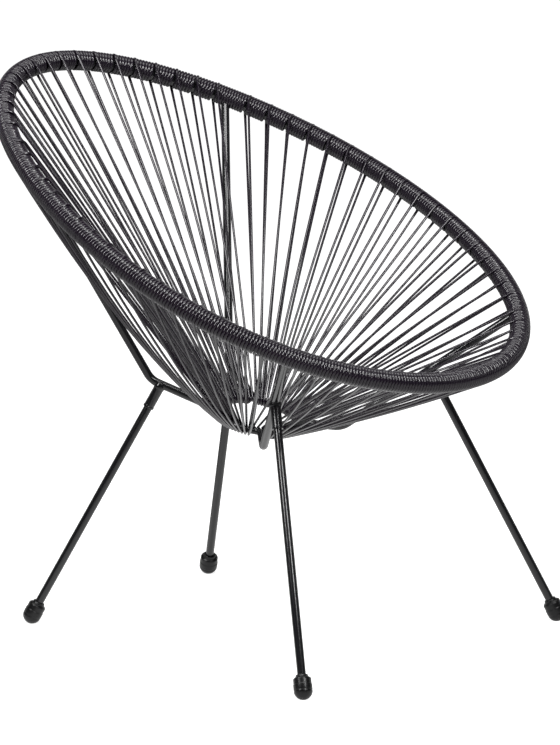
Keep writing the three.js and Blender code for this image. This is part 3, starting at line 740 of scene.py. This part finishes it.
class CHAIR_OT_seat(bpy.types.Operator):
    """Model the cord: wound round the rim and strung down to the lower ring and back"""
    bl_idname = "chair.seat"
    bl_label = "Seat cord"

    HALVINGS = 10  # to find where a turn goes into a support

    def wind(self, plan, corners, rises, loop, first, last):
        """Strands of the winding from first to last turns after a loop, parted by the supports."""
        steps = max(1, round((last - first) * plan.cord.turn_steps))
        following = (loop + 1) % LOOP_COUNT
        near = [corner for side, corner in corners if SIDE_STARTS[side] == following]

        def at(turns):
            return plan.winding_point(loop, turns, rises[following])

        def hidden(point):
            return any(inside_support(plan, corner, point) for corner in near)

        strands, strand, before = [], [], None
        for step in range(steps + 1):
            turns = mix(first, last, step / steps)
            point = at(turns)
            now = hidden(point)
            if before is not None and now != before[1]:
                low, high = before[0], turns
                for _ in range(self.HALVINGS):
                    middle = (low + high) / 2
                    low, high = (middle, high) if hidden(at(middle)) == before[1] else (low, middle)
                strand.append(at((low + high) / 2))
                if now:
                    strands.append(strand)
                    strand = []
            if not now:
                strand.append(point)
            before = (turns, now)
        strands.append(strand)
        return strands

    def stretch(self, plan, corners, rises, first, last):
        """Strands of the cord over some loops and the winding about them."""
        before = first - 1
        strands = self.wind(plan, corners, rises, before, plan.part_after(before), plan.wound_after(before))
        for loop in range(first, last):
            upto = plan.wound_after(loop) if loop + 1 < last else plan.part_after(loop)
            after = self.wind(plan, corners, rises, loop, 0, upto)
            leave, back = strands[-1].pop(), after[0].pop(0)
            under = plan.loop_points(loop)
            outer = plan.slack_points(loop, under[-1], back)
            strands[-1] += softened(leave, strands[-1][-1], under[0]) + under + outer
            strands[-1] += softened(back, outer[-1], after[0][0]) + after[0]
            strands += after[1:]
        return [points for points in strands if len(points) > 1]

    def execute(self, context):
        plan = Plan()
        corners = [(side, plan.corner(name)) for name, (_, _, side) in CORNERS.items()]
        rises = [plan.rise(loop) for loop in range(LOOP_COUNT)]
        for side_name, start, loops, stretches in zip(SIDE_NAMES, SIDE_STARTS, SIDE_LOOPS, SIDE_STRETCHES):
            ends = [start + math.floor(loops * i / stretches + 0.5) for i in range(stretches + 1)]
            for i in range(stretches):
                label = f"cord_{side_name}_{i + 1}"
                strands = self.stretch(plan, corners, rises, ends[i], ends[i + 1])
                mesh = cord_mesh(label, strands, plan.cord.diameter / 2, plan.cord.sides, plan.widening)
                finish_piece(label, mesh, cord_plastic(), [f"seat_{label}"])
        return {"FINISHED"}


class CHAIR_OT_stage(bpy.types.Operator):
    """Set the camera, the pale floor and the soft lights"""
    bl_idname = "chair.stage"
    bl_label = "Stage"

    SENSOR = 36  # millimetres
    FAR_CLIP = 100
    CAMERA_AIM = (0, 0, 0.4)
    LIGHT_AIM = (0, 0, 0.45)
    SOFTBOXES = {  # turn from the camera's heading, distance, height, size, and share of the softbox power
        "left_softbox": (-0.82, 2.6, 2.4, (0.5, 1.4), 1),
        "right_softbox": (0.61, 2.6, 2.4, (0.5, 1.4), 1),
        "overhead_softbox": (0, 1.3, 2.7, (2.4, 0.35), 0.7),
        "top_softbox": (math.pi, 0.4, 3.0, (2.0, 1.2), 0.5),
    }
    FLOOR_SIZE = 14.0
    FLOOR_GREY = 0.5
    FLOOR_SEEN = (0.3, 0.8, 0.84, 1.0)  # distances from the middle, and the glow that the camera sees at each
    FLOOR_MIRRORED = (0.3, 0.65, 0.8, 0.0)  # distances from the middle, and the glow that reflections show
    WALL = (0.1, 0.6, 0, 1)  # how squarely a reflection faces the white wall behind the chair, and its glow
    WALL_TOP = (0.1, 0.7)  # rise of a reflection at which that wall starts to fade, and where it ends
    FILL = 0.06  # soft light from all round

    def camera(self, scene):
        """Sets the camera, and gives the heading from the chair to it."""
        s = scene.chair_stage
        ahead = math.sin(s.azimuth), math.cos(s.azimuth)
        forward = Vector((ahead[0] * math.cos(s.pitch), ahead[1] * math.cos(s.pitch), -math.sin(s.pitch)))
        right = Vector((ahead[1], -ahead[0], 0))
        up = right.cross(forward)
        right, up = (right * math.cos(s.roll) + up * math.sin(s.roll),
                     up * math.cos(s.roll) - right * math.sin(s.roll))
        data = bpy.data.cameras.new("photo_camera")
        data.sensor_width, data.sensor_fit = self.SENSOR, "AUTO"
        data.lens = self.SENSOR * s.focal
        data.clip_end = self.FAR_CLIP
        camera = bpy.data.objects.new("photo_camera", data)
        scene.collection.objects.link(camera)
        spot = Vector(self.CAMERA_AIM) - forward * s.distance + right * s.shift_right + up * s.shift_up
        camera.matrix_world = (Matrix.Translation(spot)
                               @ Matrix((right, up, -forward)).transposed().to_4x4())
        scene.camera = camera
        return math.atan2(-forward.y, -forward.x)

    def softbox(self, scene, name, heading, distance, height, size, power):
        """Hangs one soft rectangular light, turned to the chair."""
        data = bpy.data.lights.new(name, "AREA")
        data.shape, data.size, data.size_y, data.energy = "RECTANGLE", size[0], size[1], power
        light = bpy.data.objects.new(name, data)
        scene.collection.objects.link(light)
        spot = Vector((math.cos(heading) * distance, math.sin(heading) * distance, height))
        facing = (spot - Vector(self.LIGHT_AIM)).to_track_quat("Z", "Y")
        light.matrix_world = Matrix.Translation(spot) @ facing.to_matrix().to_4x4()

    def floor(self, scene):
        """Lays a floor that the camera sees as white, and that shines only near the chair in reflections."""
        material, tree = new_material("white_floor")
        seen = add_node(tree, "ShaderNodeLightPath")
        where = add_node(tree, "ShaderNodeTexCoord").outputs["Object"]
        away = add_node(tree, "ShaderNodeVectorMath", {0: where}, operation="LENGTH").outputs["Value"]
        white = ramp(tree, away, *self.FLOOR_SEEN)
        shown = add_node(tree, "ShaderNodeMath", {0: seen.outputs["Is Camera Ray"], 1: white},
                         operation="MULTIPLY").outputs["Value"]
        mirrored = ramp(tree, away, *self.FLOOR_MIRRORED)
        strength = add_node(tree, "ShaderNodeMath", {0: seen.outputs["Is Glossy Ray"], 1: mirrored, 2: shown},
                            operation="MULTIPLY_ADD").outputs["Value"]
        matt = add_node(tree, "ShaderNodeBsdfDiffuse", {"Color": (*[self.FLOOR_GREY] * 3, 1)})
        glow = add_node(tree, "ShaderNodeEmission", {"Strength": strength, "Color": (1, 1, 1, 1)})
        both = add_node(tree, "ShaderNodeAddShader", {0: matt.outputs["BSDF"], 1: glow.outputs["Emission"]})
        add_node(tree, "ShaderNodeOutputMaterial", {"Surface": both.outputs["Shader"]})
        bm = bmesh.new()
        bmesh.ops.create_grid(bm, x_segments=1, y_segments=1, size=self.FLOOR_SIZE / 2)
        floor = bpy.data.objects.new("floor", to_mesh("floor", bm))
        floor.data.materials.append(material)
        scene.collection.objects.link(floor)

    def surroundings(self, scene, heading):
        """Sets a world that the camera sees as white, with a white wall behind the chair in reflections."""
        world = bpy.data.worlds.new("studio")
        world.use_nodes = True
        tree = world.node_tree
        tree.nodes.clear()
        seen = add_node(tree, "ShaderNodeLightPath")
        direction = add_node(tree, "ShaderNodeTexCoord").outputs["Generated"]
        rise = add_node(tree, "ShaderNodeSeparateXYZ", {"Vector": direction}).outputs["Z"]
        behind = add_node(tree, "ShaderNodeVectorMath", {
            0: direction, 1: (-math.cos(heading), -math.sin(heading), 0),
        }, operation="DOT_PRODUCT").outputs["Value"]
        wall = ramp(tree, behind, *self.WALL, interpolation_type="SMOOTHSTEP")
        backdrop = ramp(tree, rise, *self.WALL_TOP, wall, 0)
        soft = add_node(tree, "ShaderNodeMix", {
            0: seen.outputs["Is Glossy Ray"], 2: self.FILL, 3: backdrop}, data_type="FLOAT").outputs[0]
        strength = add_node(tree, "ShaderNodeMath", {0: soft, 1: seen.outputs["Is Camera Ray"]},
                            operation="MAXIMUM").outputs["Value"]
        sky = add_node(tree, "ShaderNodeBackground", {"Color": (1, 1, 1, 1), "Strength": strength})
        add_node(tree, "ShaderNodeOutputWorld", {"Surface": sky.outputs["Background"]})
        scene.world = world

    def execute(self, context):
        scene = context.scene
        scene.view_settings.view_transform = "Standard"
        heading = self.camera(scene)
        for name, (turned_by, distance, height, size, share) in self.SOFTBOXES.items():
            self.softbox(scene, name, heading + turned_by, distance, height, size,
                         scene.chair_stage.softbox * share)
        self.floor(scene)
        self.surroundings(scene, heading)
        return {"FINISHED"}


class CHAIR_PT_panel(bpy.types.Panel):
    """Lists the chair's pieces and sizes"""
    bl_idname = "CHAIR_PT_panel"
    bl_label = "Acapulco chair"
    bl_space_type = "VIEW_3D"
    bl_region_type = "UI"
    bl_category = "Chair"

    def draw(self, context):
        for operator in OPERATORS:
            self.layout.operator(operator.bl_idname)
        for name in GROUPS:
            group = getattr(context.scene, name)
            box = self.layout.box()
            box.label(text=name.replace("_", " ").capitalize())
            for key in group.bl_rna.properties.keys():
                if key not in ("rna_type", "name"):
                    box.prop(group, key)


GROUPS = {
    "chair_rings": CHAIR_PG_rings,
    "chair_cord": CHAIR_PG_cord,
    "chair_legs": CHAIR_PG_legs,
    "chair_finish": CHAIR_PG_finish,
    "chair_stage": CHAIR_PG_stage,
}
OPERATORS = (
    CHAIR_OT_stage, CHAIR_OT_lower_ring, CHAIR_OT_supports, CHAIR_OT_legs, CHAIR_OT_feet, CHAIR_OT_seat,
)


def register():
    for cls in (*GROUPS.values(), *OPERATORS, CHAIR_PT_panel):
        bpy.utils.register_class(cls)
    for name, group in GROUPS.items():
        setattr(bpy.types.Scene, name, PointerProperty(type=group))


def unregister():
    for name in GROUPS:
        delattr(bpy.types.Scene, name)
    for cls in (CHAIR_PT_panel, *reversed(OPERATORS), *reversed(GROUPS.values())):
        bpy.utils.unregister_class(cls)


def main():
    register()
    for operator in OPERATORS:
        getattr(bpy.ops.chair, operator.bl_idname.split(".")[1])()


if __name__ == "__main__":
    main()
